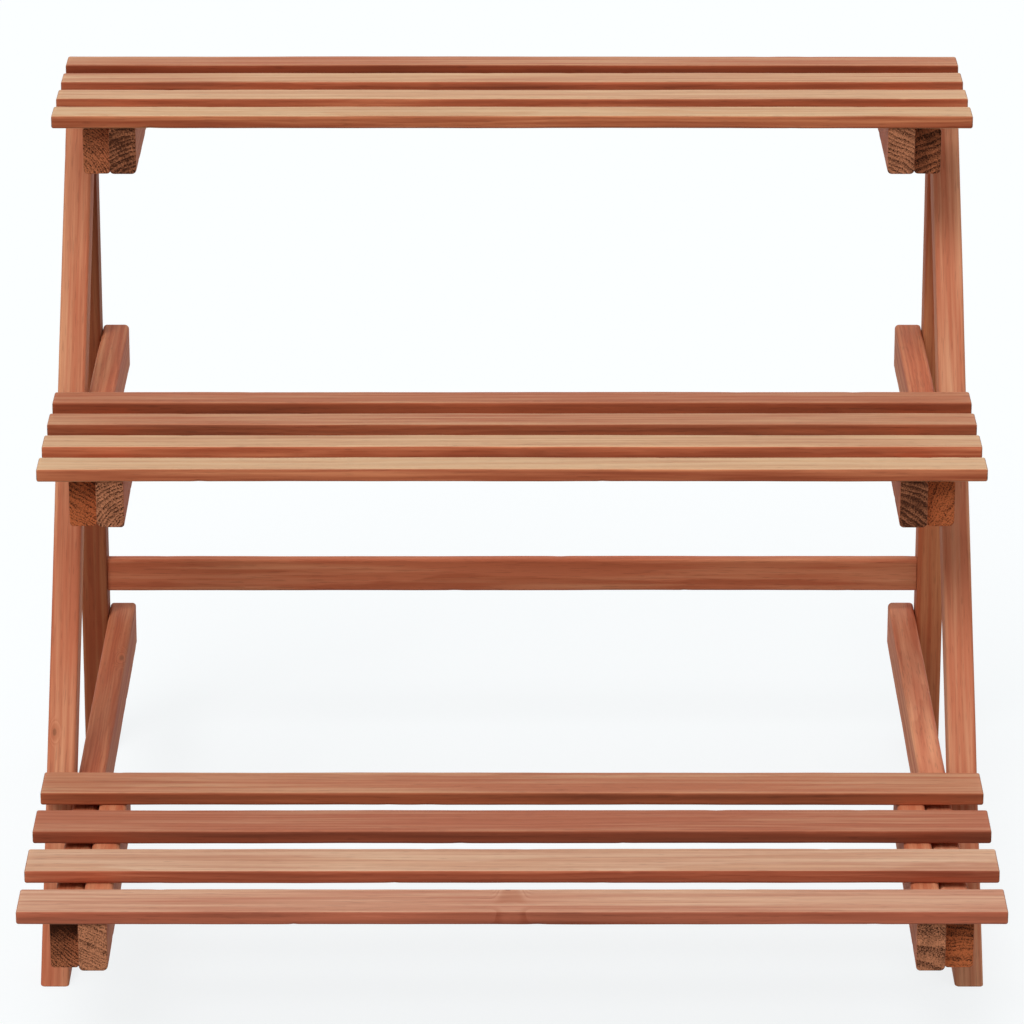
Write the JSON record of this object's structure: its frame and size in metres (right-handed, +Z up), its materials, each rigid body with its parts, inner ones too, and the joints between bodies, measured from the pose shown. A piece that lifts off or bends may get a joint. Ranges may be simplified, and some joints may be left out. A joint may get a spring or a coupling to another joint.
{
  "type": "tiered plant stand",
  "caption": "Stepped wooden plant stand: level slatted shelves rising to the back, on two side frames of sloping front legs and upright rear legs.",
  "frame": {"origin": "on the floor under the middle of the stand's width and depth", "axes": "+X along the slats to the right as seen from the front, +Y to the back, +Z up"},
  "size_m": [0.48, 0.449, 0.398],
  "materials": {
    "slat_wood": "planed cedar, bare or thinly oiled, matte",
    "frame_wood": "planed cedar, bare or thinly oiled, matte",
    "screw_steel": "zinc-plated, dull"
  },
  "bodies": {
    "root": {"bottom_slat_1": "slat_wood", "bottom_slat_2": "slat_wood", "bottom_slat_3": "slat_wood", "bottom_slat_4": "slat_wood", "left_bottom_bearer": "frame_wood", "left_bottom_arm": "frame_wood", "right_bottom_bearer": "frame_wood", "right_bottom_arm": "frame_wood", "middle_slat_1": "slat_wood", "middle_slat_2": "slat_wood", "middle_slat_3": "slat_wood", "middle_slat_4": "slat_wood", "left_middle_bearer": "frame_wood", "left_middle_arm": "frame_wood", "right_middle_bearer": "frame_wood", "right_middle_arm": "frame_wood", "top_slat_1": "slat_wood", "top_slat_2": "slat_wood", "top_slat_3": "slat_wood", "top_slat_4": "slat_wood", "left_top_bearer": "frame_wood", "left_top_arm": "frame_wood", "right_top_bearer": "frame_wood", "right_top_arm": "frame_wood", "left_front_leg": "frame_wood", "left_rear_leg": "frame_wood", "right_front_leg": "frame_wood", "right_rear_leg": "frame_wood", "back_rail": "slat_wood", "leg_screws": "screw_steel", "rail_screws": "screw_steel"}
  },
  "joints": []
}
